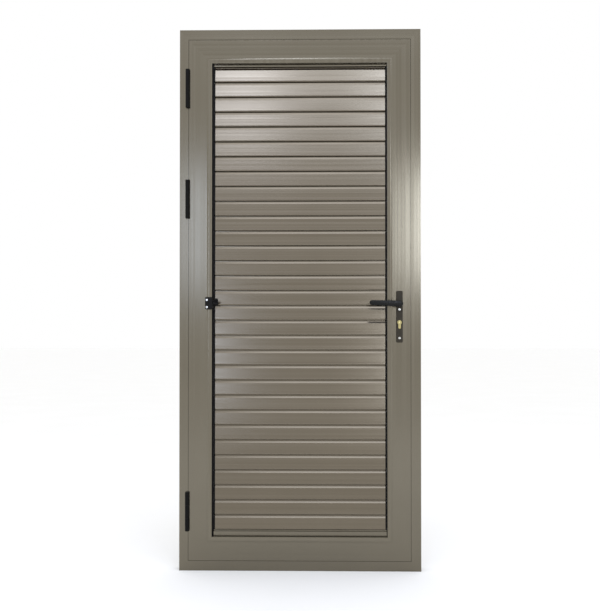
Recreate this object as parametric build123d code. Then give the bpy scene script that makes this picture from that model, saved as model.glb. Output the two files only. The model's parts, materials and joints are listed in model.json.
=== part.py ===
"""Aluminium louvred door: a mitred outer frame and one side-hung leaf with tilting blades.

Millimetres, +Z up. The outside face looks along -Y, and the hinges are at -X.
The origin is the middle of the threshold's underside.
"""

from build123d import *
import os

# Outer frame: hollow bars with a stop fin along the inner back edge
overall_width = 936.0
overall_height = 2100.0
frame_depth = 60.0
hinge_jamb_face = 34.0
frame_face = 38.0
frame_wall = 2.0
stop_height = 22.0
stop_thickness = 5.0
seal_width = 8.0
seal_edge = 1.0
seal_clearance = 0.3

# Leaf: hollow bars with a front flange, a rear leg and a rebate for the louvre unit
running_gap = 5.5
leaf_depth = 50.0
bar_face = 67.0
rebate_width = 19.0
rear_leg = 3.0
leaf_wall = 2.0
edge_step = 6.0
flange_depth = 14.0

# Snap-in bead round the louvre opening, with a sloping inner face
bead_depth = 18.0
bead_flat = 7.0
bead_slope = 6.0
bead_wall = 1.6
mitre_gap = 0.4

# Blades: two-chamber extrusions. The face leans back to the top, so that rain runs off the round
# drip nose at its lower edge, and a thin tongue stands up behind the nose of the blade above.
blade_count = 31
blade_recess = 22.0
blade_depth = 12.0
blade_lean = 3.4
blade_wall = 1.6
blade_gap = 5.2
nose_depth = 5.0
tongue_overlap = 3.2
boss_height = 10.0
blade_side_gap = 5.5
head_trim_height = 10.0
sill_trim_height = 18.0
trim_gap = 6.0
trim_wall = 2.0

# Pivot channels and the hidden linkage in the left one
channel_lip = 5.5
channel_wall = 2.0
pivot_radius = 4.0
pivot_fit = 0.2
pivot_tail = 3.0
crank_offset = 6.0
crank_radius = 10.0
crank_start = 40.0
crank_thickness = 3.0
crank_width = 7.0
crank_pin_radius = 2.5
crank_pin_length = 5.0
tie_bar_width = 8.0
tie_bar_thickness = 3.0
tie_bar_gap = 1.0
round_sides = 6

# Hinges: three-knuckle butts, barrels in front of the frame, flaps in the running gap
hinge_heights = (229.0, 1440.0, 1871.0)
hinge_length = 150.0
barrel_radius = 9.0
barrel_clearance = 1.0
knuckle_gap = 0.5
flap_thickness = 2.5
flap_depth = 14.0
hinge_pin_radius = 4.0
hinge_pin_fit = 0.1
hinge_line_inset = 31.4

# Lever handles, backplates, lock cylinder and edge plates
handle_height = 1033.0
backset = 39.5
plate_width = 25.0
plate_length = 200.0
plate_below_axis = 150.0
plate_thickness = 8.0
plate_corner = 5.0
plate_edge = 1.5
neck_radius = 9.0
neck_fit = 0.15
neck_end_gap = 0.6
lever_standoff = 30.0
lever_thickness = 13.0
lever_length = 117.0
lever_hub_radius = 12.0
lever_tip_radius = 9.5
lever_tip_rise = 4.0
lever_edge = 3.0
spindle_side = 8.0
spindle_hole_radius = 7.0
spindle_seat = 14.0
cylinder_drop = 72.0
cylinder_radius = 8.5
cylinder_tail_width = 10.0
cylinder_height = 33.0
cylinder_proud = 3.0
cylinder_fit = 0.1
slot_margin = 1.0
edge_plate_length = 230.0
edge_plate_width = 20.0
faceplate_thickness = 3.0
strike_thickness = 1.5
edge_plate_drop = 43.0
edge_plate_y = 2.0

# Mortice lock inside the lock stile, with its latch and bolt drawn back flush
lock_case_length = 190.0
lock_case_depth = 50.0
lock_case_thickness = 14.0
lock_fit = 0.3
spindle_swing_fit = 0.3
bolt_width = 11.0
latch_rise = 20.0
latch_height = 16.0
bolt_drop = 34.0
bolt_height = 26.0
keyway_width = 2.2
keyway_height = 9.0
keyway_depth = 24.0

# Louvre operator on the hinge side of the opening
operator_height = 1035.5
operator_plate_height = 47.0
operator_plate_width = 29.5
operator_depth = 18.0
operator_corner = 3.0
operator_hub_radius = 8.0
operator_hub_length = 21.0
operator_pin_radius = 4.0
operator_pin_length = 14.0
operator_pin_fit = 0.1
operator_axis_depth = 9.0
operator_side_gap = 0.5
tab_width = 14.0
tab_length = 26.0
tab_thickness = 7.0
tab_start = 40.0

# Places worked out from the sizes above
front = -frame_depth / 2
back = frame_depth / 2
leaf_back = front + leaf_depth
frame_left = -overall_width / 2
frame_right = overall_width / 2
clear_left = frame_left + hinge_jamb_face
clear_right = frame_right - frame_face
clear_top = overall_height - frame_face
leaf_left = clear_left + running_gap
leaf_right = clear_right - running_gap
leaf_bottom = frame_face + running_gap
leaf_top = clear_top - running_gap
rebate_left = leaf_left + bar_face
rebate_right = leaf_right - bar_face
rebate_bottom = leaf_bottom + bar_face
rebate_top = leaf_top - bar_face
opening_left = rebate_left + rebate_width
opening_right = rebate_right - rebate_width
opening_bottom = rebate_bottom + rebate_width
opening_top = rebate_top - rebate_width
bead_back = front + bead_depth
rebate_back = leaf_back - rear_leg

channel_left = opening_left + channel_lip
channel_right = -channel_left
blade_end = channel_right - blade_side_gap
blade_front = front + blade_recess
pivot_y = blade_front + blade_depth / 2
sill_top = opening_bottom + sill_trim_height
head_bottom = opening_top - head_trim_height
blade_zone = head_bottom - sill_top - 2 * trim_gap
blade_pitch = (blade_zone + blade_gap) / blade_count
blade_height = blade_pitch - blade_gap
lowest_pivot = sill_top + trim_gap + blade_height / 2
pivot_heights = [lowest_pivot + i * blade_pitch for i in range(blade_count)]
tongue_reach = blade_gap + tongue_overlap
tongue_thickness = blade_depth - nose_depth - blade_gap

hinge_x = frame_left + hinge_line_inset
hinge_y = front - barrel_clearance - barrel_radius
handle_x = leaf_right - backset
lock_centre = handle_height - edge_plate_drop
lever_front = front - lever_standoff - lever_thickness
lever_back = leaf_back + lever_standoff


def bar_plane(side, left, right, bottom, top):
    """Frame of one bar: local X runs inwards, local Y to the back, local Z along the bar."""
    return {
        "left": Plane((left, 0, bottom), x_dir=(1, 0, 0), z_dir=(0, 0, 1)),
        "right": Plane((right, 0, top), x_dir=(-1, 0, 0), z_dir=(0, 0, -1)),
        "bottom": Plane((right, 0, bottom), x_dir=(0, 0, 1), z_dir=(-1, 0, 0)),
        "top": Plane((left, 0, top), x_dir=(0, 0, -1), z_dir=(1, 0, 0)),
    }[side]


def mitred_bar(side, box, section, faces, reach, trim=0.0):
    """Extrude a section along one side of a box and cut both ends on the mitre lines."""
    left, right, bottom, top = box
    upright = side in ("left", "right")
    length = top - bottom if upright else right - left
    ends = {
        "left": ("bottom", "top"),
        "right": ("top", "bottom"),
        "bottom": ("right", "left"),
        "top": ("left", "right"),
    }[side]
    start, end = (faces[name] * reach / faces[side] for name in ends)
    outline = Polyline(
        (0, trim), (0, length - trim), (reach, length - end - trim), (reach, start + trim), close=True
    )
    wedge = extrude(Plane.XZ * make_face(outline), amount=frame_depth, both=True)
    bar = extrude(section, amount=length) & wedge
    return bar_plane(side, *box).location * bar


def polygon(*points):
    return make_face(Polyline(*points, close=True))


def box_between(x0, x1, y0, y1, z0, z1):
    """A box given by its lowest and highest places on each axis."""
    middle = ((x0 + x1) / 2, (y0 + y1) / 2, (z0 + z1) / 2)
    return Pos(*middle) * Box(x1 - x0, y1 - y0, z1 - z0)


def rod_x(radius, x0, x1, y, z):
    turned = Plane((x0, y, z), x_dir=(0, 1, 0), z_dir=(1, 0, 0))
    return extrude(turned * Circle(radius), amount=x1 - x0)


def few_sided_rod_x(radius, x0, x1, y, z, outside=True):
    """A rod along X with few sides: its corners, or else its flats, lie at the radius."""
    turned = Plane((x0, y, z), x_dir=(0, 1, 0), z_dir=(1, 0, 0))
    ring = RegularPolygon(radius, round_sides, major_radius=outside)
    return extrude(turned * ring, amount=x1 - x0)


def rod_y(radius, y0, y1, x, z):
    turned = Plane((x, y1, z), x_dir=(1, 0, 0), z_dir=(0, -1, 0))
    return extrude(turned * Circle(radius), amount=y1 - y0)


def frame_bars():
    """Two jambs, a head and a threshold: hollow bars with a stop fin at the back."""
    faces = {
        "left": hinge_jamb_face,
        "right": frame_face,
        "bottom": frame_face,
        "top": frame_face,
    }
    box = (frame_left, frame_right, 0, overall_height)
    bars = {}
    for side, face in faces.items():
        reach = face + stop_height
        outline = polygon(
            (0, front),
            (face, front),
            (face, back - stop_thickness),
            (reach, back - stop_thickness),
            (reach, back),
            (0, back),
        )
        hollow = polygon(
            (frame_wall, front + frame_wall),
            (face - frame_wall, front + frame_wall),
            (face - frame_wall, back - frame_wall),
            (frame_wall, back - frame_wall),
        )
        bars[side] = mitred_bar(side, box, outline - hollow, faces, reach)
    return bars


def frame_seal():
    """Rubber ring on the front of the stop, just clear of the closed leaf."""
    inset = stop_height - seal_edge
    seal_front = leaf_back + seal_clearance
    seal_back = back - stop_thickness
    ring_left = clear_left + inset - seal_width
    ring_right = clear_right - inset + seal_width
    ring_bottom = frame_face + inset - seal_width
    ring_top = clear_top - inset + seal_width
    outer = box_between(ring_left, ring_right, seal_front, seal_back, ring_bottom, ring_top)
    inner = box_between(
        ring_left + seal_width,
        ring_right - seal_width,
        seal_front - seal_width,
        seal_back + seal_width,
        ring_bottom + seal_width,
        ring_top - seal_width,
    )
    return outer - inner


def leaf_bars():
    """Two stiles and two rails with a stepped outer edge and an open rebate inside."""
    reach = bar_face + rebate_width
    flange_back = front + flange_depth
    outline = polygon(
        (0, front),
        (bar_face, front),
        (bar_face, rebate_back),
        (reach, rebate_back),
        (reach, leaf_back),
        (edge_step, leaf_back),
        (edge_step, flange_back),
        (0, flange_back),
    )
    hollow = polygon(
        (leaf_wall, front + leaf_wall),
        (bar_face - leaf_wall, front + leaf_wall),
        (bar_face - leaf_wall, leaf_back - leaf_wall),
        (edge_step + leaf_wall, leaf_back - leaf_wall),
        (edge_step + leaf_wall, flange_back - leaf_wall),
        (leaf_wall, flange_back - leaf_wall),
    )
    box = (leaf_left, leaf_right, leaf_bottom, leaf_top)
    faces = dict.fromkeys(("left", "right", "bottom", "top"), reach)
    return {side: mitred_bar(side, box, outline - hollow, faces, reach) for side in faces}


def beads():
    """Four mitred hollow beads that hold the louvre unit in the rebate."""
    outline = polygon(
        (0, front),
        (bead_flat, front),
        (rebate_width, front + bead_slope),
        (rebate_width, bead_back),
        (0, bead_back),
    )
    hollow = polygon(
        (bead_wall, front + bead_wall),
        (bead_flat, front + bead_wall),
        (rebate_width - bead_wall, front + bead_slope + bead_wall),
        (rebate_width - bead_wall, bead_back - bead_wall),
        (bead_wall, bead_back - bead_wall),
    )
    box = (rebate_left, rebate_right, rebate_bottom, rebate_top)
    faces = dict.fromkeys(("left", "right", "bottom", "top"), rebate_width)
    section = outline - hollow
    return [mitred_bar(side, box, section, faces, rebate_width, mitre_gap / 2) for side in faces]


def pivot_channel(outer_x, inner_x):
    """Hollow channel between bead and rear leg, with a row of pivot holes in its inner wall."""
    low_x = min(outer_x, inner_x)
    high_x = max(outer_x, inner_x)
    tube = box_between(low_x, high_x, bead_back, rebate_back, rebate_bottom, rebate_top)
    tube -= box_between(
        low_x + channel_wall,
        high_x - channel_wall,
        bead_back + channel_wall,
        rebate_back - channel_wall,
        rebate_bottom,
        rebate_top,
    )
    hole_radius = pivot_radius + pivot_fit
    hole_start = inner_x - 1.5 * channel_wall
    hole_end = inner_x + 1.5 * channel_wall
    holes = [
        few_sided_rod_x(hole_radius, hole_start, hole_end, pivot_y, height, outside=False)
        for height in pivot_heights
    ]
    return tube - holes


def trim_bar(section):
    """Extrude a (y, z) section from one pivot channel to the other."""
    plane = Plane((channel_left, 0, 0), x_dir=(0, 1, 0), z_dir=(1, 0, 0))
    return extrude(plane * section, amount=channel_right - channel_left)


def head_trim():
    """Hollow filler over the top blade, with the same drip nose as a blade's lower edge."""
    shoulder = head_bottom + nose_depth + tongue_overlap + blade_gap
    nose_back = blade_front + nose_depth
    side = Polyline(
        (nose_back, head_bottom),
        (nose_back, shoulder),
        (rebate_back, shoulder),
        (rebate_back, rebate_top),
        (blade_front, rebate_top),
        (blade_front, head_bottom + nose_depth),
    )
    nose = RadiusArc((nose_back, head_bottom), (blade_front, head_bottom + nose_depth), nose_depth)
    hollow = polygon(
        (blade_front + trim_wall, shoulder + trim_wall),
        (rebate_back - trim_wall, shoulder + trim_wall),
        (rebate_back - trim_wall, rebate_top - trim_wall),
        (blade_front + trim_wall, rebate_top - trim_wall),
    )
    return trim_bar(make_face(side + nose) - hollow)


def sill_trim():
    """Hollow filler under the lowest blade, with the same tongue as a blade's upper edge."""
    tongue_back = blade_front + blade_depth
    tongue_front = tongue_back - tongue_thickness
    outline = polygon(
        (blade_front, rebate_bottom),
        (rebate_back, rebate_bottom),
        (rebate_back, sill_top),
        (tongue_back, sill_top),
        (tongue_back, sill_top + tongue_reach),
        (tongue_front, sill_top + tongue_reach),
        (tongue_front, sill_top),
        (blade_front, sill_top),
    )
    hollow = polygon(
        (blade_front + trim_wall, rebate_bottom + trim_wall),
        (rebate_back - trim_wall, rebate_bottom + trim_wall),
        (rebate_back - trim_wall, sill_top - trim_wall),
        (blade_front + trim_wall, sill_top - trim_wall),
    )
    return trim_bar(outline - hollow)


def blade_section():
    """Blade profile about its pivot: drip nose at the bottom front, tongue at the top back."""
    half_depth = blade_depth / 2
    half_height = blade_height / 2
    nose_top = -half_height + nose_depth
    nose_back = -half_depth + nose_depth
    shoulder = -half_height + tongue_overlap + blade_gap
    tongue_front = half_depth - tongue_thickness
    tongue_end = half_height + tongue_reach

    def face_at(height):
        return -half_depth + blade_lean * (height - nose_top) / (half_height - nose_top)

    def chamber(low, high):
        return polygon(
            (face_at(low) + blade_wall, low),
            (half_depth - blade_wall, low),
            (half_depth - blade_wall, high),
            (face_at(high) + blade_wall, high),
        )

    side = Polyline(
        (nose_back, -half_height),
        (nose_back, shoulder),
        (half_depth, shoulder),
        (half_depth, tongue_end),
        (tongue_front, tongue_end),
        (tongue_front, half_height),
        (-half_depth + blade_lean, half_height),
        (-half_depth, nose_top),
    )
    nose = RadiusArc((nose_back, -half_height), (-half_depth, nose_top), nose_depth)
    upper = chamber(boss_height / 2, half_height - blade_wall)
    lower = chamber(shoulder + blade_wall, -boss_height / 2)
    return make_face(side + nose) - upper - lower


def blade():
    """One blade about its pivot at the origin, with its pivots and the crank on the left."""
    plane = Plane((-blade_end, 0, 0), x_dir=(0, 1, 0), z_dir=(1, 0, 0))
    body = extrude(plane * blade_section(), amount=2 * blade_end)
    crank_x = channel_left - channel_wall - crank_offset
    crank_back = crank_x - crank_thickness
    right_end = channel_right + channel_wall + pivot_tail
    right_pivot = few_sided_rod_x(pivot_radius, blade_end, right_end, 0, 0)
    left_pivot = few_sided_rod_x(pivot_radius, crank_x, -blade_end, 0, 0)
    arm_start = -crank_width / 2
    arm_end = crank_radius + crank_width / 2
    arm = box_between(crank_back, crank_x, arm_start, arm_end, -crank_width / 2, crank_width / 2)
    pin = few_sided_rod_x(crank_pin_radius, crank_back - crank_pin_length, crank_back, crank_radius, 0)
    crank = Rot(crank_start, 0, 0) * (arm + pin)
    return body + right_pivot + left_pivot + crank


def crank_pin_place(height):
    """Y and Z of one blade's crank pin at rest."""
    offset = Vector(crank_radius, 0).rotate(Axis.Z, crank_start)
    return pivot_y + offset.X, height + offset.Y


def tie_bar():
    """Flat bar that joins every crank pin, so that all blades tilt together."""
    face_x = channel_left - channel_wall - crank_offset - crank_thickness - tie_bar_gap
    y, low_z = crank_pin_place(pivot_heights[0])
    high_z = crank_pin_place(pivot_heights[-1])[1]
    half = tie_bar_width / 2
    bar = box_between(
        face_x - tie_bar_thickness, face_x, y - half, y + half, low_z - tie_bar_width, high_z + tie_bar_width
    )
    hole_radius = crank_pin_radius + pivot_fit
    holes = [
        few_sided_rod_x(
            hole_radius,
            face_x - 1.5 * tie_bar_thickness,
            face_x + tie_bar_thickness / 2,
            *crank_pin_place(height),
            outside=False,
        )
        for height in pivot_heights
    ]
    return bar - holes


def hinge_flap(middle_x, z):
    """Flat flap in the running gap, level with the front of the frame."""
    low = middle_x - flap_thickness / 2
    high = middle_x + flap_thickness / 2
    half = hinge_length / 2
    flap_front = front - barrel_clearance
    return box_between(low, high, flap_front, flap_front + flap_depth, z - half, z + half)


def knuckle(middle_x, z0, z1):
    """One barrel length with the web that joins it to its flap."""
    barrel = Pos(hinge_x, hinge_y, (z0 + z1) / 2) * Cylinder(barrel_radius, z1 - z0)
    low = middle_x - flap_thickness / 2
    high = middle_x + flap_thickness / 2
    return barrel + box_between(low, high, hinge_y, front, z0, z1)


def frame_hinge(z):
    """Outer knuckles, pin and flap, screwed to the jamb."""
    flap_x = clear_left + flap_thickness / 2
    third = hinge_length / 6
    half = hinge_length / 2
    lower = knuckle(flap_x, z - half, z - third - knuckle_gap)
    upper = knuckle(flap_x, z + third + knuckle_gap, z + half)
    pin = Pos(hinge_x, hinge_y, z) * Cylinder(hinge_pin_radius, 4 * third)
    return hinge_flap(flap_x, z) + lower + upper + pin


def leaf_hinge(z):
    """Middle knuckle and flap, screwed to the edge of the hinge stile."""
    flap_x = leaf_left - flap_thickness / 2
    third = hinge_length / 6
    bore = Pos(hinge_x, hinge_y, z) * Cylinder(hinge_pin_radius + hinge_pin_fit, hinge_length)
    return hinge_flap(flap_x, z) + knuckle(flap_x, z - third, z + third) - bore


def cylinder_profile(margin=0.0):
    """Lock cylinder outline: a round head over a narrow tail."""
    radius = cylinder_radius + margin
    tail = cylinder_height - cylinder_radius
    width = cylinder_tail_width + 2 * margin
    foot = Pos(0, width / 2 - tail - margin) * Circle(width / 2)
    stem_height = tail - cylinder_tail_width / 2
    stem = Pos(0, -stem_height / 2) * Rectangle(width, stem_height)
    return Circle(radius) + stem + foot


def cylinder_prism(y0, y1, margin=0.0):
    plane = Plane((handle_x, y1, handle_height - cylinder_drop), x_dir=(1, 0, 0), z_dir=(0, -1, 0))
    return extrude(plane * cylinder_profile(margin), amount=y1 - y0)


def handle_plate(outside):
    """Rounded backplate with holes for the lever's neck and the cylinder."""
    y_face = front - plate_thickness if outside else leaf_back + plate_thickness
    y_seat = front if outside else leaf_back
    low_y = min(y_face, y_seat)
    high_y = max(y_face, y_seat)
    middle_z = handle_height - plate_below_axis + plate_length / 2
    plane = Plane((handle_x, high_y, middle_z), x_dir=(1, 0, 0), z_dir=(0, -1, 0))
    plate = extrude(plane * RectangleRounded(plate_width, plate_length, plate_corner), amount=plate_thickness)
    face = plate.faces().sort_by(Axis.Y)[0 if outside else -1]
    plate = chamfer(face.edges(), plate_edge)
    neck_hole = rod_y(neck_radius + neck_fit, low_y - 1, high_y + 1, handle_x, handle_height)
    return plate - neck_hole - cylinder_prism(low_y - 1, high_y + 1, cylinder_fit)


def lever(outside):
    """Lever with a round neck; it points away from the lock edge and rises a little at its tip."""
    grip_y = lever_front if outside else lever_back
    neck_start = lever_front + lever_thickness if outside else leaf_back + neck_end_gap
    neck_end = front - neck_end_gap if outside else lever_back
    hub = Circle(lever_hub_radius)
    tip = Pos(-lever_length + lever_tip_radius, lever_tip_rise) * Circle(lever_tip_radius)
    outline = make_hull(hub.edges() + tip.edges())
    plane = Plane((handle_x, grip_y + lever_thickness, handle_height), x_dir=(1, 0, 0), z_dir=(0, -1, 0))
    grip = extrude(plane * outline, amount=lever_thickness)
    ends = grip.faces().sort_by(Axis.Y)
    grip = chamfer(ends[0].edges() + ends[-1].edges(), lever_edge)
    body = grip + rod_y(neck_radius, neck_start, neck_end, handle_x, handle_height)
    return body - spindle()


def spindle():
    """Square bar through the lock, seated in both levers."""
    half = spindle_side / 2
    y0 = front - plate_thickness - spindle_seat
    y1 = leaf_back + plate_thickness + spindle_seat
    return box_between(
        handle_x - half, handle_x + half, y0, y1, handle_height - half, handle_height + half
    )


def bolt_blocks(x0, x1, margin=0.0):
    """The latch and the bolt, or with a margin the windows that they pass through."""
    half = bolt_width / 2 + margin
    sizes = ((handle_height + latch_rise, latch_height), (handle_height - bolt_drop, bolt_height))
    return [
        box_between(
            x0, x1, edge_plate_y - half, edge_plate_y + half, z - height / 2 - margin, z + height / 2 + margin
        )
        for z, height in sizes
    ]


def edge_plate(x0, x1):
    """Rounded plate on the meeting edge, with windows for the latch and the bolt."""
    middle = Plane((x0, edge_plate_y, lock_centre), x_dir=(0, 1, 0), z_dir=(1, 0, 0))
    outline = SlotOverall(edge_plate_length, edge_plate_width, rotation=90)
    return extrude(middle * outline, amount=x1 - x0) - bolt_blocks(x0 - 1, x1 + 1, lock_fit)


def mortice_lock():
    """Lock case behind the faceplate, bored for the spindle and the cylinder, with both bolts."""
    face = leaf_right - edge_step - leaf_wall - lock_fit
    half = lock_case_thickness / 2
    case = box_between(
        face - lock_case_depth,
        face,
        edge_plate_y - half,
        edge_plate_y + half,
        lock_centre - lock_case_length / 2,
        lock_centre + lock_case_length / 2,
    )
    spindle_bore = rod_y(
        spindle_side / 2 ** 0.5 + spindle_swing_fit, front, leaf_back, handle_x, handle_height
    )
    bolts = bolt_blocks(face - 1, leaf_right - edge_step + faceplate_thickness)
    return case + bolts - spindle_bore - cylinder_prism(front, leaf_back, lock_fit)


def lock_cylinder():
    """Profile cylinder through the stile and both plates, with a keyway in each end."""
    low_y = front - plate_thickness - cylinder_proud
    high_y = leaf_back + plate_thickness + cylinder_proud
    body = cylinder_prism(low_y, high_y)
    z = handle_height - cylinder_drop
    for start, end in ((low_y - 1, low_y + keyway_depth), (high_y - keyway_depth, high_y + 1)):
        body -= box_between(
            handle_x - keyway_width / 2,
            handle_x + keyway_width / 2,
            start,
            end,
            z - keyway_height / 2,
            z + keyway_height / 2,
        )
    return body


def operator_base():
    """Housing on the hinge stile, with the bearing for the operator's pin."""
    right = channel_left - operator_side_gap
    left = right - operator_plate_width
    half = operator_plate_height / 2
    box = box_between(
        left, right, front - operator_depth, front, operator_height - half, operator_height + half
    )
    box = fillet(box.faces().sort_by(Axis.Y)[0].edges(), operator_corner)
    bore = few_sided_rod_x(
        operator_pin_radius + operator_pin_fit,
        channel_left - operator_pin_length - 1,
        channel_left,
        front - operator_axis_depth,
        operator_height,
        outside=False,
    )
    return box - bore


def operator_lever():
    """Hub and finger tab that turn about a pin in the housing."""
    y = front - operator_axis_depth
    hub = rod_x(operator_hub_radius, channel_left, channel_left + operator_hub_length, y, operator_height)
    pin = few_sided_rod_x(
        operator_pin_radius, channel_left - operator_pin_length, channel_left, y, operator_height
    )
    tab_end = channel_left + operator_hub_length
    tab = box_between(
        tab_end - tab_width, tab_end, -tab_length, 0, -tab_thickness / 2, tab_thickness / 2
    )
    return hub + pin + Pos(0, y, operator_height) * Rot(-tab_start, 0, 0) * tab


def lock_stile(bar):
    """The bar with its holes: for the spindle, for the cylinder, and for both bolts in its edge."""
    spindle_hole = rod_y(spindle_hole_radius, front - 1, leaf_back + 1, handle_x, handle_height)
    head = cylinder_radius + slot_margin
    top = handle_height - cylinder_drop + head
    slot = box_between(
        handle_x - head,
        handle_x + head,
        front - 1,
        leaf_back + 1,
        top - cylinder_height - 2 * slot_margin,
        top,
    )
    edge = leaf_right - edge_step
    return bar - spindle_hole - slot - bolt_blocks(edge - 1.5 * leaf_wall, edge + leaf_wall, lock_fit)


def lock_jamb(bar):
    """The bar with the two keeps cut behind the strike plate."""
    return bar - bolt_blocks(clear_right - 1, clear_right + 1.5 * frame_wall, lock_fit)


frame_bar = frame_bars()
leaf_bar = leaf_bars()
one_blade = blade()

nodes = {
    "hinge_jamb": frame_bar["left"],
    "lock_jamb": lock_jamb(frame_bar["right"]),
    "head": frame_bar["top"],
    "threshold": frame_bar["bottom"],
    "frame_seal": frame_seal(),
    "frame_hinges": Compound([frame_hinge(z).solid() for z in hinge_heights]),
    "strike_plate": edge_plate(clear_right - strike_thickness, clear_right),
    "hinge_stile": leaf_bar["left"],
    "lock_stile": lock_stile(leaf_bar["right"]),
    "top_rail": leaf_bar["top"],
    "bottom_rail": leaf_bar["bottom"],
    "louvre_beads": Compound([bead.solid() for bead in beads()]),
    "left_pivot_channel": pivot_channel(rebate_left, channel_left),
    "right_pivot_channel": pivot_channel(rebate_right, channel_right),
    "head_trim": head_trim(),
    "sill_trim": sill_trim(),
    "leaf_hinges": Compound([leaf_hinge(z).solid() for z in hinge_heights]),
    "outer_handle_plate": handle_plate(outside=True),
    "inner_handle_plate": handle_plate(outside=False),
    "lock_cylinder": lock_cylinder(),
    "mortice_lock": mortice_lock(),
    "lock_faceplate": edge_plate(leaf_right - edge_step, leaf_right - edge_step + faceplate_thickness),
    "outer_lever": lever(outside=True),
    "inner_lever": lever(outside=False),
    "spindle": spindle(),
    "operator_base": operator_base(),
    "operator_lever": operator_lever(),
    "tie_bar": tie_bar(),
}
for number, height in enumerate(reversed(pivot_heights), start=1):
    nodes[f"blade_{number:02d}"] = Pos(0, pivot_y, height) * one_blade

os.makedirs("parts", exist_ok=True)
for name, shape in nodes.items():
    export_step(shape, f"parts/{name}.step")
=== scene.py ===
import json
from math import atan2, cos, pi, radians, sin, sqrt

import bmesh
import bpy
from mathutils import Matrix, Vector


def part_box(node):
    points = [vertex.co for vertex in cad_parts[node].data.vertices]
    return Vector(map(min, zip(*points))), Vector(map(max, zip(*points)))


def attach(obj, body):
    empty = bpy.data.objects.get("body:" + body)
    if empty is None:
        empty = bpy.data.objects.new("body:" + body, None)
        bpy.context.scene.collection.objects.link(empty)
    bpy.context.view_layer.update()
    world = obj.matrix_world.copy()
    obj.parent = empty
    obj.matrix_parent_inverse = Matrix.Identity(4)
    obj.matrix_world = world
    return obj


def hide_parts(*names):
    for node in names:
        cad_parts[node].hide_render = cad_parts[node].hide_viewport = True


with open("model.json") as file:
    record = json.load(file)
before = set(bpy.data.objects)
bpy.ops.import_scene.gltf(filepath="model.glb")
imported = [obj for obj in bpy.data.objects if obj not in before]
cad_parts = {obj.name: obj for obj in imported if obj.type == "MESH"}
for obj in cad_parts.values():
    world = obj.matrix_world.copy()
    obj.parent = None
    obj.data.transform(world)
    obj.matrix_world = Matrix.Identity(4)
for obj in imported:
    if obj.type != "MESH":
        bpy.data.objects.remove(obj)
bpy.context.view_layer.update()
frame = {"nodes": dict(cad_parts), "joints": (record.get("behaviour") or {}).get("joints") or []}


# The outer frame: two jambs, a head and a threshold, extruded in aluminium, mitred at the corners
# and anodised a satin champagne bronze. The die leaves fine straight lines along every bar, and
# the anodised skin keeps them, so reflections are drawn out across the bar.
mm = 0.001
champagne = "#736D60"
die_line = 13 * mm        # width of the streaks that the die's fine lines bunch into
line_run = 20000 * mm     # the lines run from end to end, and change very slowly
cloud = 180 * mm          # slow change of tone from the anodising bath
streak_tone = 0.1
streak_sheen = 0.05
streak_depth = 0.4 * mm


def linear(code):
    """A colour written as sRGB hex, as the linear values that a shader takes."""
    parts = [int(code[i:i + 2], 16) / 255 for i in (1, 3, 5)]
    return [c / 12.92 if c <= 0.04045 else ((c + 0.055) / 1.055) ** 2.4 for c in parts] + [1.0]


def shade(code, factor):
    """The same colour, lighter or darker."""
    return [c * factor for c in linear(code)[:3]] + [1.0]


def add_node(tree, kind, inputs=None, **settings):
    """Add a node with its settings, and give each named input a value or a link."""
    node = tree.nodes.new(kind)
    for name, value in settings.items():
        setattr(node, name, value)
    for name, value in (inputs or {}).items():
        if isinstance(value, bpy.types.NodeSocket):
            tree.links.new(value, node.inputs[name])
        else:
            node.inputs[name].default_value = value
    return node


def new_material(name):
    """An empty material: itself, its tree, its shader and its object coordinates."""
    material = bpy.data.materials.new(name)
    material.use_nodes = True
    tree = material.node_tree
    place = add_node(tree, "ShaderNodeTexCoord").outputs["Object"]
    return material, tree, tree.nodes["Principled BSDF"], place


def anodised_extrusion(name, run, colour, roughness, streak=die_line):
    """Anodised extrusion whose die lines follow one axis: 0 for X, 2 for Z."""
    material, tree, shader, place = new_material(name)
    stretch = [1 / streak] * 3
    stretch[run] = 1 / line_run
    along = add_node(tree, "ShaderNodeMapping", {"Vector": place, "Scale": stretch})
    lines = add_node(tree, "ShaderNodeTexNoise", {
        "Vector": along.outputs["Vector"], "Scale": 1.0, "Detail": 1.5, "Roughness": 0.6})
    clouds = add_node(tree, "ShaderNodeTexNoise", {
        "Vector": place, "Scale": 1 / cloud, "Detail": 2.0})
    both = add_node(tree, "ShaderNodeMath", {
        0: lines.outputs["Fac"], 1: clouds.outputs["Fac"]}, operation="ADD")
    half = add_node(tree, "ShaderNodeMath", {
        0: both.outputs["Value"], 1: 0.5}, operation="MULTIPLY")
    tone = add_node(tree, "ShaderNodeMixRGB", {
        "Fac": half.outputs["Value"], "Color1": shade(colour, 1 - streak_tone),
        "Color2": shade(colour, 1 + streak_tone)})
    sheen = add_node(tree, "ShaderNodeMapRange", {
        "Value": lines.outputs["Fac"], "From Min": 0.25, "From Max": 0.75,
        "To Min": roughness - streak_sheen, "To Max": roughness + streak_sheen})
    relief = add_node(tree, "ShaderNodeBump", {
        "Height": lines.outputs["Fac"], "Strength": 0.25, "Distance": streak_depth})
    tree.links.new(tone.outputs["Color"], shader.inputs["Base Color"])
    tree.links.new(sheen.outputs["Result"], shader.inputs["Roughness"])
    tree.links.new(relief.outputs["Normal"], shader.inputs["Normal"])
    shader.inputs["Metallic"].default_value = 1.0
    return material


def dress(names, material):
    """Give CAD nodes their finish."""
    for name in names:
        materials = frame["nodes"][name].data.materials
        materials.clear()
        materials.append(material)


bar_roughness = 0.19
upright_bar = anodised_extrusion("champagne_anodised_upright_bar", 2, champagne, bar_roughness)
level_bar = anodised_extrusion("champagne_anodised_level_bar", 0, champagne, bar_roughness)
dress(["hinge_jamb", "lock_jamb"], upright_bar)
dress(["head", "threshold"], level_bar)


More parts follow.
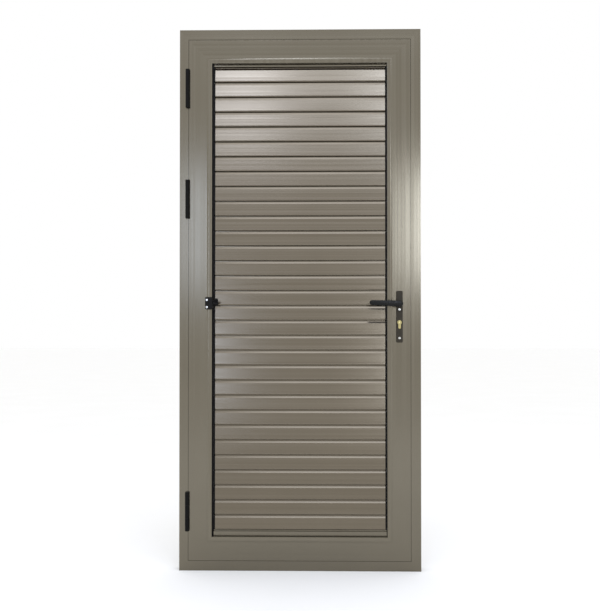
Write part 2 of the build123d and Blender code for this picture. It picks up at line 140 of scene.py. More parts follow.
# The frame seal: a black EPDM rubber strip pressed on the stop behind the leaf. Extruded rubber
# is matt, with a faint bloom that pales it unevenly.
bloom_size = 9 * mm
pit_depth = 0.1 * mm


def dull_black(name, colour, grain, roughness, relief_strength, specular):
    """Black rubber, nylon or powder coat: a fine grain breaks up its gloss."""
    material, tree, shader, place = new_material(name)
    pits = add_node(tree, "ShaderNodeTexNoise", {
        "Vector": place, "Scale": 1 / grain, "Detail": 3.0})
    haze = add_node(tree, "ShaderNodeTexNoise", {
        "Vector": place, "Scale": 1 / bloom_size, "Detail": 2.0})
    tone = add_node(tree, "ShaderNodeMixRGB", {
        "Fac": haze.outputs["Fac"], "Color1": shade(colour, 0.75), "Color2": shade(colour, 1.3)})
    gloss = add_node(tree, "ShaderNodeMapRange", {
        "Value": haze.outputs["Fac"], "From Min": 0.3, "From Max": 0.7,
        "To Min": roughness - 0.04, "To Max": roughness + 0.05})
    relief = add_node(tree, "ShaderNodeBump", {
        "Height": pits.outputs["Fac"], "Strength": relief_strength, "Distance": pit_depth})
    tree.links.new(tone.outputs["Color"], shader.inputs["Base Color"])
    tree.links.new(gloss.outputs["Result"], shader.inputs["Roughness"])
    tree.links.new(relief.outputs["Normal"], shader.inputs["Normal"])
    shader.inputs["Specular IOR Level"].default_value = specular
    return material


rubber = dull_black("black_epdm_rubber", "#1D1D1C", 0.6 * mm, 0.72, 0.25, 0.3)
dress(["frame_seal"], rubber)


# The leaf: two stiles and two rails of the same anodised extrusion, mitred, with a flush front
# face. The die lines run up the stiles and across the rails.
dress(["hinge_stile", "lock_stile"], upright_bar)
dress(["top_rail", "bottom_rail"], level_bar)


# The weather lips: thin flanges that the stiles' and rails' extrusion carries along the leaf's
# edge, level with its face. They close most of the running gap, and stop at the hinges' flaps.
hinge_heights = (229 * mm, 1440 * mm, 1871 * mm)
hinge_length = 150 * mm
lip_reach = 4.3 * mm
lip_thickness = 2.5 * mm
lip_clearance = 1 * mm
rounded_from = radians(40)    # make_piece rounds the edges that turn more than this
smooth_below = radians(35)


def plain_box(low, high):
    """A box between two corners."""
    shape = bmesh.new()
    bmesh.ops.create_cube(shape, size=1)
    for vertex in shape.verts:
        vertex.co = Vector([low[i] if vertex.co[i] < 0 else high[i] for i in range(3)])
    return shape


def add_object(name, data):
    """Put a mesh, a lamp or a camera in the scene as an object."""
    made = bpy.data.objects.new(name, data)
    bpy.context.scene.collection.objects.link(made)
    return made


def make_piece(name, parts, material, edge=0, edge_steps=3, cut=None):
    """Join (bmesh, matrix) parts in one plain mesh object, with its edges rounded by a bevel."""
    mesh = bpy.data.meshes.new(name)
    joined = bmesh.new()
    for shape, matrix in parts:
        part = bpy.data.meshes.new("part")
        shape.to_mesh(part)
        shape.free()
        part.transform(matrix)
        joined.from_mesh(part)
        bpy.data.meshes.remove(part)
    joined.to_mesh(mesh)
    joined.free()
    piece = add_object(name, mesh)
    if cut:
        hole = piece.modifiers.new("cut", "BOOLEAN")
        hole.object = cut
        hole.operation = "DIFFERENCE"
        hole.solver = "EXACT"
    if edge:
        bevel = piece.modifiers.new("edge", "BEVEL")
        bevel.width = edge
        bevel.segments = edge_steps
        bevel.limit_method = "ANGLE"
        bevel.angle_limit = rounded_from
    graph = bpy.context.evaluated_depsgraph_get()
    finished = bpy.data.meshes.new_from_object(piece.evaluated_get(graph))
    piece.modifiers.clear()
    piece.data = finished
    finished.materials.clear()
    finished.materials.append(material)
    finished.polygons.foreach_set("use_smooth", [True] * len(finished.polygons))
    finished.set_sharp_from_angle(angle=smooth_below)
    finished.name = name
    if cut:
        bpy.data.objects.remove(cut)
    return piece


hinge_low, hinge_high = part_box("hinge_stile")
leaf_front = hinge_low.y
left, right = hinge_low.x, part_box("lock_stile")[1].x
bottom, top = hinge_low.z, hinge_high.z
lip_back = leaf_front + lip_thickness
far_left, far_right = left - lip_reach, right + lip_reach
far_bottom, far_top = bottom - lip_reach, top + lip_reach
hinge_room = hinge_length / 2 + lip_clearance
stops = [bottom] + [z + side * hinge_room for z in hinge_heights for side in (-1, 1)] + [top]
flanges = [plain_box((far_left, leaf_front, z0), (left, lip_back, z1))
           for z0, z1 in zip(stops[::2], stops[1::2])]
flanges += [plain_box((right, leaf_front, far_bottom), (far_right, lip_back, far_top)),
            plain_box((far_left, leaf_front, far_bottom), (right, lip_back, bottom)),
            plain_box((far_left, leaf_front, top), (right, lip_back, far_top))]
weather_lips = make_piece("weather_lips", [(shape, Matrix.Identity(4)) for shape in flanges],
                          upright_bar)
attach(weather_lips, "leaf")


# The beads: four snap-in extrusions round the louvre opening, mitred at the corners. Their faces
# are level with the leaf, and fall away a little towards the opening.
bead_flat = 7 * mm
bead_fall = 2 * mm
bead_edge = 0.2 * mm
rebate_width = 19 * mm
bead_metal = anodised_extrusion("champagne_anodised_bead", 2, champagne, 0.22)


def mitred_ring(profile, low, high):
    """Closed ring round a rectangle in the XZ plane, from (inset, y) points of its section."""
    shape = bmesh.new()
    loops = []
    for inset, y in profile:
        loops.append([shape.verts.new((x, y, z)) for x, z in (
            (low.x + inset, low.z + inset), (high.x - inset, low.z + inset),
            (high.x - inset, high.z - inset), (low.x + inset, high.z - inset))])
    for outer, inner in zip(loops, loops[1:] + loops[:1]):
        for i in range(4):
            j = (i + 1) % 4
            shape.faces.new((outer[i], outer[j], inner[j], inner[i]))
    bmesh.ops.recalc_face_normals(shape, faces=shape.faces)
    return shape


bead_low, bead_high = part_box("louvre_beads")
bead_ring = mitred_ring([
    (0, bead_low.y), (bead_flat, bead_low.y), (rebate_width, bead_low.y + bead_fall),
    (rebate_width, bead_high.y), (0, bead_high.y)], bead_low, bead_high)
bead_set = make_piece("mitred_beads", [(bead_ring, Matrix.Identity(4))], bead_metal, bead_edge, 2)
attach(bead_set, "leaf")
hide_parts("louvre_beads")


# The pivot channels: black nylon-clad channels that carry the blade pivots and hide the linkage.
# Moulded nylon is a satin black with a faint spark-eroded grain.
nylon = dull_black("black_moulded_nylon", "#0B0A09", 0.45 * mm, 0.48, 0.2, 0.15)
dress(["left_pivot_channel", "right_pivot_channel"], nylon)


# The head and sill fillers: level extrusions, anodised like the leaf, that close the opening above
# the top blade and below the bottom one.
dress(["head_trim", "sill_trim"], level_bar)


# The blades: two-chamber aluminium extrusions. They're polished before anodising, so they're a
# little brighter than the bars, and long die lines run from end to end.
joints = {joint["child"]: joint for joint in frame["joints"]}
blades = sorted(name for name in frame["nodes"] if name.startswith("blade_"))
blade_half_depth = 6 * mm
blade_half_height = 26.53 * mm
half_gap = 2.6 * mm       # half the gap between two blades
blade_pitch = (joints[blades[0]]["pos_m"][2] - joints[blades[-1]]["pos_m"][2]) / (len(blades) - 1)
lip_height = 6.5 * mm     # the upper front edge is bevelled
lip_fall = 2.4 * mm
face_fall = 0.044         # the polished face is a little fuller at its foot
gap_middle = joints[blades[-1]]["pos_m"][2] + blade_half_height + half_gap
blade_top = blade_pitch - half_gap
blade_metal = anodised_extrusion("champagne_anodised_blade", 0, "#726A5D", 0.2, streak=9 * mm)
tree = blade_metal.node_tree
shader = tree.nodes["Principled BSDF"]
place = add_node(tree, "ShaderNodeTexCoord").outputs["Object"]
height = add_node(tree, "ShaderNodeSeparateXYZ", {"Vector": place}).outputs["Z"]
from_gap = add_node(tree, "ShaderNodeMath", {0: height, 1: gap_middle}, operation="SUBTRACT")
within_pitch = add_node(tree, "ShaderNodeMath", {
    0: from_gap.outputs["Value"], 1: blade_pitch, 2: 0.0}, operation="WRAP")
bevelled = add_node(tree, "ShaderNodeMapRange", {
    "Value": within_pitch.outputs["Value"], "From Min": blade_top - lip_height,
    "From Max": blade_top, "To Min": 0.0, "To Max": -lip_fall})
leaning = add_node(tree, "ShaderNodeMath", {
    0: within_pitch.outputs["Value"], 1: -face_fall, 2: bevelled.outputs["Result"]},
    operation="MULTIPLY_ADD")
lip = add_node(tree, "ShaderNodeBump", {
    "Height": leaning.outputs["Value"], "Strength": 1.0, "Distance": 1.0,
    "Normal": shader.inputs["Normal"].links[0].from_socket})
tree.links.new(lip.outputs["Normal"], shader.inputs["Normal"])
dress(blades, blade_metal)


# The blade end caps: moulded black nylon plugs pushed into both ends of each blade. They close
# its chambers, and turn with it between the channels.
cap_thickness = 5 * mm
cap_fit = 0.3 * mm        # the cap is a little smaller than the extrusion
blade_end = 331.5 * mm
weld = 0.01 * mm          # points nearer than this are joined


def support_outline(circles, steps=96):
    """Closed outline round circles, each given as ((u, v), radius), like a belt round pulleys."""
    points = []
    for i in range(steps):
        way = Vector((cos(2 * pi * i / steps), sin(2 * pi * i / steps)))
        centre, radius = max(circles, key=lambda c: Vector(c[0]).dot(way) + c[1])
        points.append(Vector(centre) + radius * way)
    return points


def rounded_box_outline(low, high, radius, steps=48):
    """Closed outline of a rectangle with round corners."""
    corners = [(u, v) for u in (low[0] + radius, high[0] - radius)
               for v in (low[1] + radius, high[1] - radius)]
    return support_outline([(corner, radius) for corner in corners], steps)


def facing(way, origin=(0, 0, 0)):
    """Matrix that turns local U right, V up and W outwards for a face that looks along way."""
    w = Vector(way)
    v = Vector((0, 0, 1))
    u = v.cross(w)
    return Matrix.Translation(origin) @ Matrix((u, v, w)).transposed().to_4x4()


def prism(outline, low, high):
    """Closed prism over an outline of (u, v) points, from w = low to w = high."""
    shape = bmesh.new()
    bottom = [shape.verts.new((u, v, low)) for u, v in outline]
    top = [shape.verts.new((u, v, high)) for u, v in outline]
    shape.faces.new(bottom[::-1])
    shape.faces.new(top)
    for i in range(len(outline)):
        j = (i + 1) % len(outline)
        shape.faces.new((bottom[i], bottom[j], top[j], top[i]))
    return shape


def lathe(profile, steps=48):
    """Solid turned round the W axis from (radius, w) points that start and end on it."""
    shape = bmesh.new()
    rings = []
    for radius, w in profile:
        if radius == 0:
            rings.append([shape.verts.new((0, 0, w))])
        else:
            rings.append([shape.verts.new((radius * cos(2 * pi * i / steps),
                                           radius * sin(2 * pi * i / steps), w))
                          for i in range(steps)])
    for lower, upper in zip(rings, rings[1:]):
        for i in range(steps):
            j = (i + 1) % steps
            if len(lower) == 1:
                shape.faces.new((lower[0], upper[j], upper[i]))
            elif len(upper) == 1:
                shape.faces.new((lower[i], lower[j], upper[0]))
            else:
                shape.faces.new((lower[i], lower[j], upper[j], upper[i]))
    bmesh.ops.recalc_face_normals(shape, faces=shape.faces)
    return shape


def new_node_group(name, lengths):
    """Geometry node group that is given a mesh, some lengths and a material, and its inputs."""
    tree = bpy.data.node_groups.new(name, "GeometryNodeTree")
    tree.interface.new_socket("Geometry", in_out="INPUT", socket_type="NodeSocketGeometry")
    for label in lengths:
        tree.interface.new_socket(label, in_out="INPUT", socket_type="NodeSocketFloat")
    tree.interface.new_socket("Material", in_out="INPUT", socket_type="NodeSocketMaterial")
    tree.interface.new_socket("Geometry", in_out="OUTPUT", socket_type="NodeSocketGeometry")
    return tree, add_node(tree, "NodeGroupInput").outputs


def end_node_group(tree, given, points, shape):
    """Set a copy of a shape on every point, as real dressed geometry: the group's result."""
    placed = add_node(tree, "GeometryNodeInstanceOnPoints", {"Points": points, "Instance": shape})
    real = add_node(tree, "GeometryNodeRealizeInstances", {"Geometry": placed.outputs["Instances"]})
    dressed = add_node(tree, "GeometryNodeSetMaterial", {
        "Geometry": real.outputs["Geometry"], "Material": given["Material"]})
    add_node(tree, "NodeGroupOutput", {"Geometry": dressed.outputs["Geometry"]})


def end_cap_tree():
    """Node group: thickens a flat cap outline and sets a cap at each end of a blade."""
    tree, given = new_node_group("blade_end_caps", ("Thickness", "Blade end"))
    thick = add_node(tree, "GeometryNodeExtrudeMesh", {
        "Mesh": given["Geometry"], "Offset Scale": given["Thickness"], "Individual": False})
    back = add_node(tree, "GeometryNodeFlipFaces", {"Mesh": given["Geometry"]})
    cap = add_node(tree, "GeometryNodeJoinGeometry")
    tree.links.new(thick.outputs["Mesh"], cap.inputs["Geometry"])
    tree.links.new(back.outputs["Mesh"], cap.inputs["Geometry"])
    closed = add_node(tree, "GeometryNodeMergeByDistance", {
        "Geometry": cap.outputs["Geometry"], "Distance": weld})
    right = add_node(tree, "ShaderNodeCombineXYZ", {"X": given["Blade end"]})
    left_end = add_node(tree, "ShaderNodeMath", {
        0: given["Blade end"], 1: given["Thickness"]}, operation="ADD")
    left_x = add_node(tree, "ShaderNodeMath", {0: left_end.outputs["Value"], 1: -1.0},
                      operation="MULTIPLY")
    left = add_node(tree, "ShaderNodeCombineXYZ", {"X": left_x.outputs["Value"]})
    ends = add_node(tree, "GeometryNodeMeshLine", {
        "Count": 2, "Start Location": left.outputs["Vector"],
        "Offset": right.outputs["Vector"]}, mode="END_POINTS")
    end_node_group(tree, given, ends.outputs["Mesh"], closed.outputs["Geometry"])
    return tree


def run_nodes(name, mesh, tree, values):
    """Put a node group on a mesh, set its named inputs, and return the result as a plain mesh."""
    carrier = add_object(name, mesh)
    modifier = carrier.modifiers.new("nodes", "NODES")
    modifier.node_group = tree
    identifiers = {item.name: item.identifier for item in tree.interface.items_tree
                   if item.in_out == "INPUT"}
    for label, value in values.items():
        modifier[identifiers[label]] = value
    graph = bpy.context.evaluated_depsgraph_get()
    result = bpy.data.meshes.new_from_object(carrier.evaluated_get(graph))
    bpy.data.objects.remove(carrier)
    return result


nose = 5 * mm
blade_lean = 3.4 * mm
corner_width = 2 * mm     # bevel at the cap's upper front corner
corner_height = 3 * mm
tongue_room = 2 * mm
tongue_reach = 8.4 * mm   # the tongue stands up behind the nose of the blade above
tongue_end = blade_half_height + tongue_reach
tongue_front = blade_half_depth - tongue_room
shoulder = -blade_half_height + tongue_reach
front, back = -blade_half_depth + cap_fit, blade_half_depth - cap_fit
foot, crown = -blade_half_height + cap_fit, blade_half_height - cap_fit
cap_outline = [(front + blade_lean, crown - corner_height), (front, foot + nose)]
cap_outline += [(front + nose * (1 - cos(a)), foot + nose * (1 - sin(a)))
                for a in (radians(angle) for angle in range(15, 91, 15))]
cap_outline += [(front + nose, shoulder), (back, shoulder), (back, tongue_end - cap_fit),
                (tongue_front, tongue_end - cap_fit), (tongue_front, crown),
                (front + blade_lean + corner_width, crown)]
cap_face = bmesh.new()
cap_face.faces.new([cap_face.verts.new((0, u, v)) for u, v in cap_outline])
cap_mesh = bpy.data.meshes.new("cap_face")
cap_face.to_mesh(cap_mesh)
cap_face.free()
both_caps = run_nodes("cap_carrier", cap_mesh, end_cap_tree(), {
    "Thickness": cap_thickness, "Blade end": blade_end, "Material": nylon})
for name in blades:
    caps_mesh = both_caps.copy()
    caps_mesh.transform(Matrix.Translation(joints[name]["pos_m"]))
    caps = add_object(name.replace("blade", "end_caps"), caps_mesh)
    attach(caps, name)


# The tie bar: a mill-finish flat bar in the left channel that joins every blade's crank, so that
# all the blades turn together. Bare aluminium, duller and greyer than the anodised bars.
mill_bar = anodised_extrusion("mill_finish_flat_bar", 2, "#B4B5B6", 0.42)
dress(["tie_bar"], mill_bar)


# The hinges: three-knuckle aluminium butts, powder coated black. The barrels stand in front of
# the frame with domed caps, and the flaps lie against the bars in the running gap, out of sight.
powder_coat = dull_black("black_powder_coat", "#0B0B0A", 0.8 * mm, 0.4, 0.3, 0.1)
barrel_radius = 8 * mm
knuckle_gap = 0.5 * mm
flap_thickness = 2.5 * mm
flap_depth = 14 * mm
flap_front = -31 * mm
jamb_edge = -434 * mm
stile_edge = -428.5 * mm
hinge_axis = Vector(joints["leaf"]["pos_m"])
dome_rise = 1.6 * mm
dome_steps = 6
soft_break = 0.4 * mm     # an end without a dome has its edge broken by this much
head_sides = 24
slot_width_share = 0.2    # the screws' cross slots, as shares of the head's radius
slot_length_share = 0.9


def knuckle_profile(z0, z1, low_dome, high_dome):
    """(radius, height) points of a barrel with domed or softly broken ends."""
    def end(height, sign, dome):
        rise = dome_rise if dome else soft_break
        arc = [(barrel_radius - rise * (1 - cos(a)), height + sign * (rise * sin(a) - rise))
               for a in (pi / 2 * i / dome_steps for i in range(dome_steps + 1))]
        return arc + [(0, arc[-1][1])]
    return end(z0, -1, low_dome)[::-1] + end(z1, 1, high_dome)


def screw_tree():
    """Node group: sets a cross-recessed screw head on every point of a mesh."""
    tree, given = new_node_group("screw_heads", ("Head radius", "Head height", "Crown radius"))
    head = add_node(tree, "GeometryNodeMeshCone", {
        "Vertices": head_sides, "Radius Top": given["Crown radius"],
        "Radius Bottom": given["Head radius"], "Depth": given["Head height"]})
    slot_width, slot_length = [
        add_node(tree, "ShaderNodeMath", {0: given["Head radius"], 1: share}, operation="MULTIPLY")
        for share in (slot_width_share, slot_length_share)]
    slot_sizes = [add_node(tree, "ShaderNodeCombineXYZ", {
        "X": a.outputs["Value"], "Y": b.outputs["Value"], "Z": given["Head height"]})
        for a, b in ((slot_length, slot_width), (slot_width, slot_length))]
    cross = add_node(tree, "GeometryNodeJoinGeometry")
    for size in slot_sizes:
        slot = add_node(tree, "GeometryNodeMeshCube", {"Size": size.outputs["Vector"]})
        tree.links.new(slot.outputs["Mesh"], cross.inputs["Geometry"])
    lift = add_node(tree, "ShaderNodeCombineXYZ", {"Z": given["Head height"]})
    raised = add_node(tree, "GeometryNodeTransform", {
        "Geometry": cross.outputs["Geometry"], "Translation": lift.outputs["Vector"]})
    cut = add_node(tree, "GeometryNodeMeshBoolean", operation="DIFFERENCE")
    tree.links.new(head.outputs["Mesh"], cut.inputs["Mesh 1"])
    tree.links.new(raised.outputs["Geometry"], cut.inputs["Mesh 2"])
    end_node_group(tree, given, given["Geometry"], cut.outputs["Mesh"])
    return tree


screw_nodes = screw_tree()


def screws(name, groups, radius, height, crown, material):
    """Screw heads of one body as one piece. A group is (facing matrix, list of (u, v) points)."""
    joined = bmesh.new()
    for matrix, points in groups:
        dots = bpy.data.meshes.new("dots")
        dots.from_pydata([(u, v, 0) for u, v in points], [], [])
        heads = run_nodes("screw_carrier", dots, screw_nodes, {
            "Head radius": radius, "Head height": height, "Crown radius": crown,
            "Material": material})
        heads.transform(matrix)
        joined.from_mesh(heads)
    mesh = bpy.data.meshes.new(name)
    joined.to_mesh(mesh)
    joined.free()
    mesh.materials.append(material)
    return add_object(name, mesh)


def hinge_parts(flap_middle, pieces):
    """Flap, webs and knuckles of every hinge: pieces are (low, high, dome low, dome high)."""
    parts = []
    for z in hinge_heights:
        low, high = flap_middle - flap_thickness / 2, flap_middle + flap_thickness / 2
        upright = Matrix.Translation((0, 0, z))
        flap = [(low, flap_front), (high, flap_front), (high, flap_front + flap_depth),
                (low, flap_front + flap_depth)]
        parts.append((prism(flap, -hinge_length / 2, hinge_length / 2), upright))
        for z0, z1, low_dome, high_dome in pieces:
            web = [(low, hinge_axis.y), (high, hinge_axis.y), (high, flap_front), (low, flap_front)]
            parts.append((prism(web, z0 + dome_rise, z1 - dome_rise), upright))
            barrel = lathe(knuckle_profile(z0, z1, low_dome, high_dome))
            parts.append((barrel, Matrix.Translation((hinge_axis.x, hinge_axis.y, z))))
    return parts


half_hinge = hinge_length / 2
half_middle = hinge_length / 6    # half the length of the middle knuckle
frame_hinges = make_piece("frame_hinge_leaves", hinge_parts(jamb_edge + flap_thickness / 2, [
    (-half_hinge, -half_middle - knuckle_gap, True, False),
    (half_middle + knuckle_gap, half_hinge, False, True)]), powder_coat)
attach(frame_hinges, "frame")
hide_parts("frame_hinges")
leaf_hinges = make_piece("leaf_hinge_leaves", hinge_parts(stile_edge - flap_thickness / 2, [
    (-half_middle, half_middle, False, False)]), powder_coat)
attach(leaf_hinges, "leaf")
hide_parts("leaf_hinges")


# The edge plates: the lock's stainless faceplate let into the leaf's edge, and the strike plate
# on the jamb. Sheet brushed along its length before it was stamped.
scratch_width = 0.5 * mm
scratch_length = 40 * mm
scratch_depth = 0.1 * mm
scratch_gloss = 0.08


def brushed_steel(name, run, colour, roughness):
    """Brushed stainless steel: short fine scratches along one axis."""
    material, tree, shader, place = new_material(name)
    stretch = [1 / scratch_width] * 3
    stretch[run] = 1 / scratch_length
    along = add_node(tree, "ShaderNodeMapping", {"Vector": place, "Scale": stretch})
    scratches = add_node(tree, "ShaderNodeTexNoise", {
        "Vector": along.outputs["Vector"], "Scale": 1.0, "Detail": 5.0})
    tone = add_node(tree, "ShaderNodeMixRGB", {
        "Fac": scratches.outputs["Fac"], "Color1": shade(colour, 0.8),
        "Color2": shade(colour, 1.1)})
    gloss = add_node(tree, "ShaderNodeMapRange", {
        "Value": scratches.outputs["Fac"], "To Min": roughness - scratch_gloss,
        "To Max": roughness + scratch_gloss})
    relief = add_node(tree, "ShaderNodeBump", {
        "Height": scratches.outputs["Fac"], "Strength": 0.1, "Distance": scratch_depth})
    tree.links.new(tone.outputs["Color"], shader.inputs["Base Color"])
    tree.links.new(gloss.outputs["Result"], shader.inputs["Roughness"])
    tree.links.new(relief.outputs["Normal"], shader.inputs["Normal"])
    shader.inputs["Metallic"].default_value = 1.0
    return material


steel_plate = brushed_steel("brushed_stainless_plate", 2, "#C6C5C2", 0.32)
dress(["lock_faceplate", "strike_plate", "mortice_lock", "spindle"], steel_plate)


# The backplates: die-cast zinc, powder coated black, one on each face of the lock stile, each
# held by two bright machine screws.
plate_corner = 5 * mm
plate_edge = 1.6 * mm
plate_screw_radius = 5 * mm
plate_screw_height = 1.3 * mm
plate_screw_crown = 4.2 * mm
plate_screw_sink = 0.4 * mm
screw_rises = (-22 * mm, -132.5 * mm)
handle_axis = Vector(joints["handle"]["pos_m"])
bright_steel = brushed_steel("bright_machine_screw", 0, "#F2F1EC", 0.22)
plate_coat = dull_black("worn_black_plate_coat", "#322E26", 0.8 * mm, 0.42, 0.3, 0.15)
sides = {"outer": Vector((0, -1, 0)), "inner": Vector((0, 1, 0))}
for side, way in sides.items():
    node = f"{side}_handle_plate"
    low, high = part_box(node)
    face = -low.y if side == "outer" else high.y
    seat = -high.y if side == "outer" else low.y
    turn = facing(way)
    mirror = 1 if side == "outer" else -1
    half_width = (high.x - low.x) / 2
    outline = rounded_box_outline(
        (mirror * handle_axis.x - half_width, low.z),
        (mirror * handle_axis.x + half_width, high.z), plate_corner)
    plate = make_piece(f"{side}_backplate", [(prism(outline, seat, face), turn)], plate_coat,
                       plate_edge, 4)
    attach(plate, "leaf")
    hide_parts(node)
    screw_face = facing(way, way * (face - plate_screw_sink))
    heads = screws(f"{side}_plate_screws", [(screw_face, [
        (mirror * handle_axis.x, handle_axis.z + rise) for rise in screw_rises])],
        plate_screw_radius, plate_screw_height, plate_screw_crown, bright_steel)
    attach(heads, "leaf")


# The levers: die-cast zinc, powder coated black like their plates. A round neck swells into a
# flat grip with soft edges and a blunt end that rises a little.
lever_coat = dull_black("glossy_black_lever_coat", "#080807", 0.8 * mm, 0.25, 0.1, 0.2)
grip_edge = 4.5 * mm
grip_thickness = 13 * mm
hub_radius = 12 * mm
tip_radius = 9.5 * mm
tip_reach = 107.5 * mm
tip_rise = 4 * mm
neck_radius = 9 * mm
neck_flare = 1.5 * mm
neck_overlap = 2 * mm


def softened(shape, place, material, edge, steps):
    """The same shape at its place, with rounded edges, to be joined with others."""
    piece = make_piece("softened_part", [(shape, place)], material, edge, steps)
    rounded = bmesh.new()
    rounded.from_mesh(piece.data)
    bpy.data.objects.remove(piece)
    return rounded


for side, way in sides.items():
    node = f"{side}_lever"
    low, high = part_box(node)
    mirror = 1 if side == "outer" else -1
    outer_face = -low.y if side == "outer" else high.y
    inner_face = outer_face - grip_thickness
    neck_foot = -high.y if side == "outer" else low.y
    grip = support_outline([
        ((mirror * handle_axis.x, handle_axis.z), hub_radius),
        ((mirror * (handle_axis.x - tip_reach), handle_axis.z + tip_rise), tip_radius)])
    neck = [(0, neck_foot), (neck_radius, neck_foot), (neck_radius, inner_face - neck_flare),
            (neck_radius + neck_flare, inner_face + neck_overlap), (0, inner_face + neck_overlap)]
    turn = facing(way)
    neck_place = turn @ Matrix.Translation((mirror * handle_axis.x, handle_axis.z, 0))
    soft_grip = softened(prism(grip, inner_face, outer_face), turn, lever_coat, grip_edge, 6)
    lever = make_piece(f"{side}_grip", [
        (soft_grip, Matrix.Identity(4)), (lathe(neck), neck_place)], lever_coat)
    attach(lever, "handle")
    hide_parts(node)


# The lock cylinder: a brass profile cylinder through stile and plates, polished at both ends,
# with a round plug and a keyway.
cylinder_z = handle_axis.z - 72 * mm
cylinder_radius = 8.5 * mm
cylinder_tail_width = 10 * mm
cylinder_height = 33 * mm
cylinder_edge = 0.4 * mm
plug_radius = 6.6 * mm
plug_edge = 0.4 * mm
plug_low = -2 * mm        # heights from the cylinder's face
plug_break = 0.2 * mm
plug_top = 0.5 * mm
keyway_low = -1.5 * mm
keyway_top = 2 * mm
keyway_outline = [(-1.1 * mm, -4.6 * mm), (1.1 * mm, -4.6 * mm), (1.1 * mm, -0.5 * mm),
                  (0.5 * mm, 0.5 * mm), (0.5 * mm, 4.4 * mm), (-1.1 * mm, 4.4 * mm)]


def keyhole_outline(radius, tail_width, height, steps=24):
    """Round head over a narrower round-ended tail, about the head's centre."""
    half = tail_width / 2
    joint = atan2(-sqrt(radius ** 2 - half ** 2), half)
    head = [(radius * cos(a), radius * sin(a))
            for a in (joint + (pi - 2 * joint) * i / steps for i in range(steps + 1))]
    foot_v = radius - height + half
    foot = [(half * cos(a), foot_v + half * sin(a))
            for a in (pi + pi * i / 12 for i in range(13))]
    return head + foot


brass = brushed_steel("polished_brass", 0, "#B8AC7A", 0.2)
low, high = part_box("lock_cylinder")
cylinder_body = prism(keyhole_outline(cylinder_radius, cylinder_tail_width, cylinder_height),
                      -high.y, -low.y)
cylinder_place = facing((0, -1, 0)) @ Matrix.Translation((handle_axis.x, cylinder_z, 0))
cylinder = make_piece("profile_cylinder", [(cylinder_body, cylinder_place)], brass,
                      cylinder_edge, 2)
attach(cylinder, "leaf")
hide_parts("lock_cylinder")
for side, way in sides.items():
    mirror = 1 if side == "outer" else -1
    face = -low.y if side == "outer" else high.y
    plug_profile = [(0, face + plug_low), (plug_radius, face + plug_low),
                    (plug_radius, face + plug_break), (plug_radius - plug_edge, face + plug_top),
                    (0, face + plug_top)]
    place = facing(way) @ Matrix.Translation((mirror * handle_axis.x, cylinder_z, 0))
    keyway = make_piece("keyway_cutter", [
        (prism(keyway_outline, face + keyway_low, face + keyway_top), place)], brass)
    plug = make_piece(f"{side}_plug", [(lathe(plug_profile), place)], brass, cut=keyway)
    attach(plug, "leaf")


# The louvre operator: a moulded black nylon housing screwed to the stile by two bright screws,
# and a hub with a finger tab that turns the blades.
housing_corner = 4 * mm
housing_edge = 2.5 * mm
operator_screw_inset = 7 * mm
operator_screw_heights = (1048 * mm, 1020 * mm)
operator_screw_radius = 4.8 * mm
operator_screw_height = 1.8 * mm
operator_screw_crown = 4 * mm
operator_screw_sink = 0.5 * mm
knob_radius = 8 * mm
knob_inset = 14 * mm
inner_break = 0.6 * mm
outer_break = 1 * mm
tab_length = 26 * mm
tab_width = 14 * mm
tab_thickness = 7 * mm
tab_corner = 3.2 * mm
tab_edge = 1.5 * mm
tab_start = radians(-40)
low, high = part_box("operator_base")
base_outline = rounded_box_outline((low.x, low.z), (high.x, high.z), housing_corner)
base = make_piece("operator_housing", [(prism(base_outline, -high.y, -low.y), facing((0, -1, 0)))],
                  nylon, housing_edge, 5)
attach(base, "leaf")
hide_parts("operator_base")
screw_face = facing((0, -1, 0), (0, low.y + operator_screw_sink, 0))
operator_screws = screws("operator_screws", [(screw_face, [
    (low.x + operator_screw_inset, z) for z in operator_screw_heights])],
    operator_screw_radius, operator_screw_height, operator_screw_crown, bright_steel)
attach(operator_screws, "leaf")
operator_axis = Vector(joints["operator_lever"]["pos_m"])
low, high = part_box("operator_lever")
knob_left = low.x + knob_inset
knob_profile = [(0, knob_left), (knob_radius - inner_break, knob_left),
                (knob_radius, knob_left + inner_break), (knob_radius, high.x - outer_break),
                (knob_radius - outer_break, high.x), (0, high.x)]
on_axis = Matrix.Translation((0, operator_axis.y, operator_axis.z))
sideways = facing((1, 0, 0))
half_tab = tab_thickness / 2
tab_outline = rounded_box_outline((-tab_length, -half_tab), (0, half_tab), tab_corner)
tab = softened(prism(tab_outline, high.x - tab_width, high.x),
               on_axis @ Matrix.Rotation(tab_start, 4, "X") @ sideways, nylon, tab_edge, 4)
knob = make_piece("operator_knob", [
    (lathe(knob_profile), on_axis @ sideways), (tab, Matrix.Identity(4))], nylon)
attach(knob, "operator_lever")
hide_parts("operator_lever")


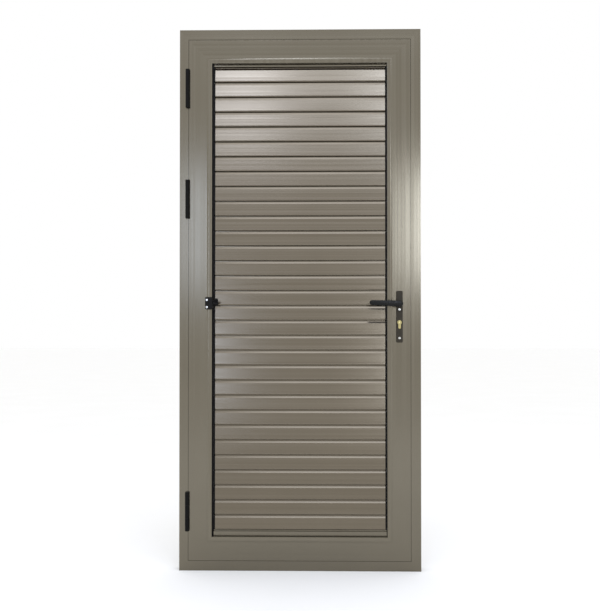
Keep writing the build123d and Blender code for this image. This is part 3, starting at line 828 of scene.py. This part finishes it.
# The studio: a white floor, an even white sky, two low softboxes that the stiles and the middle
# blades mirror, three high ones that the upper blades mirror, and one overhead, aimed down.
scene = bpy.context.scene
scene.view_settings.view_transform = "Standard"
floor_mesh = bpy.data.meshes.new("studio_floor")
floor_half = 30.0
floor_mesh.from_pydata([
    (-floor_half, -floor_half, 0), (floor_half, -floor_half, 0),
    (floor_half, floor_half, 0), (-floor_half, floor_half, 0)], [], [(0, 1, 2, 3)])
floor = add_object("studio_floor", floor_mesh)
floor_paint, tree, shader, place = new_material("matt_white_floor")
dust = add_node(tree, "ShaderNodeTexNoise", {"Vector": place, "Scale": 2.0})
floor_tone = add_node(tree, "ShaderNodeMixRGB", {
    "Fac": dust.outputs["Fac"], "Color1": linear("#FBFBFA"), "Color2": linear("#FFFFFF")})
tree.links.new(floor_tone.outputs["Color"], shader.inputs["Base Color"])
shader.inputs["Roughness"].default_value = 0.9
floor_mesh.materials.append(floor_paint)

world = bpy.data.worlds.new("studio_sky")
scene.world = world
world.use_nodes = True
background = world.node_tree.nodes["Background"]
background.inputs["Color"].default_value = linear("#FFFFFF")
background.inputs["Strength"].default_value = 1.0


def softbox(name, place, aim, width, height, power, colour):
    """Rectangular area lamp at a place, turned towards a point."""
    lamp = bpy.data.lights.new(name, "AREA")
    lamp.shape = "RECTANGLE"
    lamp.size = width
    lamp.size_y = height
    lamp.energy = power
    lamp.color = linear(colour)[:3]
    holder = add_object(name, lamp)
    holder.location = place
    holder.rotation_euler = (Vector(aim) - Vector(place)).to_track_quat("-Z", "Y").to_euler()


middle = (0, 0, 1.1)
softbox("right_low_softbox", (0.95, -4.2, 1.7), middle, 0.3, 0.85, 8, "#E4EEFF")
softbox("left_low_softbox", (-0.88, -4.2, 1.68), middle, 0.3, 1.0, 4.4, "#C6D9FF")
softbox("left_high_softbox", (-1.08, -9.2, 6.4), middle, 1.1, 1.6, 41, "#D6E2FF")
softbox("middle_high_softbox", (0.2, -9.2, 6.35), middle, 0.9, 1.6, 1.5, "#E4ECFF")
softbox("right_high_softbox", (1.2, -9.2, 6.4), middle, 0.7, 1.6, 30, "#D6E4FF")
softbox("overhead_softbox", (0.5, -2.9, 4.6), (0.5, -2.9, 0), 2.4, 4.8, 66, "#DFE9FF")

camera_data = bpy.data.cameras.new("photo_camera")
camera_data.lens = 60.8
camera = add_object("photo_camera", camera_data)
camera.location = (0.084, -4.03, 0.974)
camera.rotation_euler = (radians(90.75), 0, radians(1.2))
scene.camera = camera
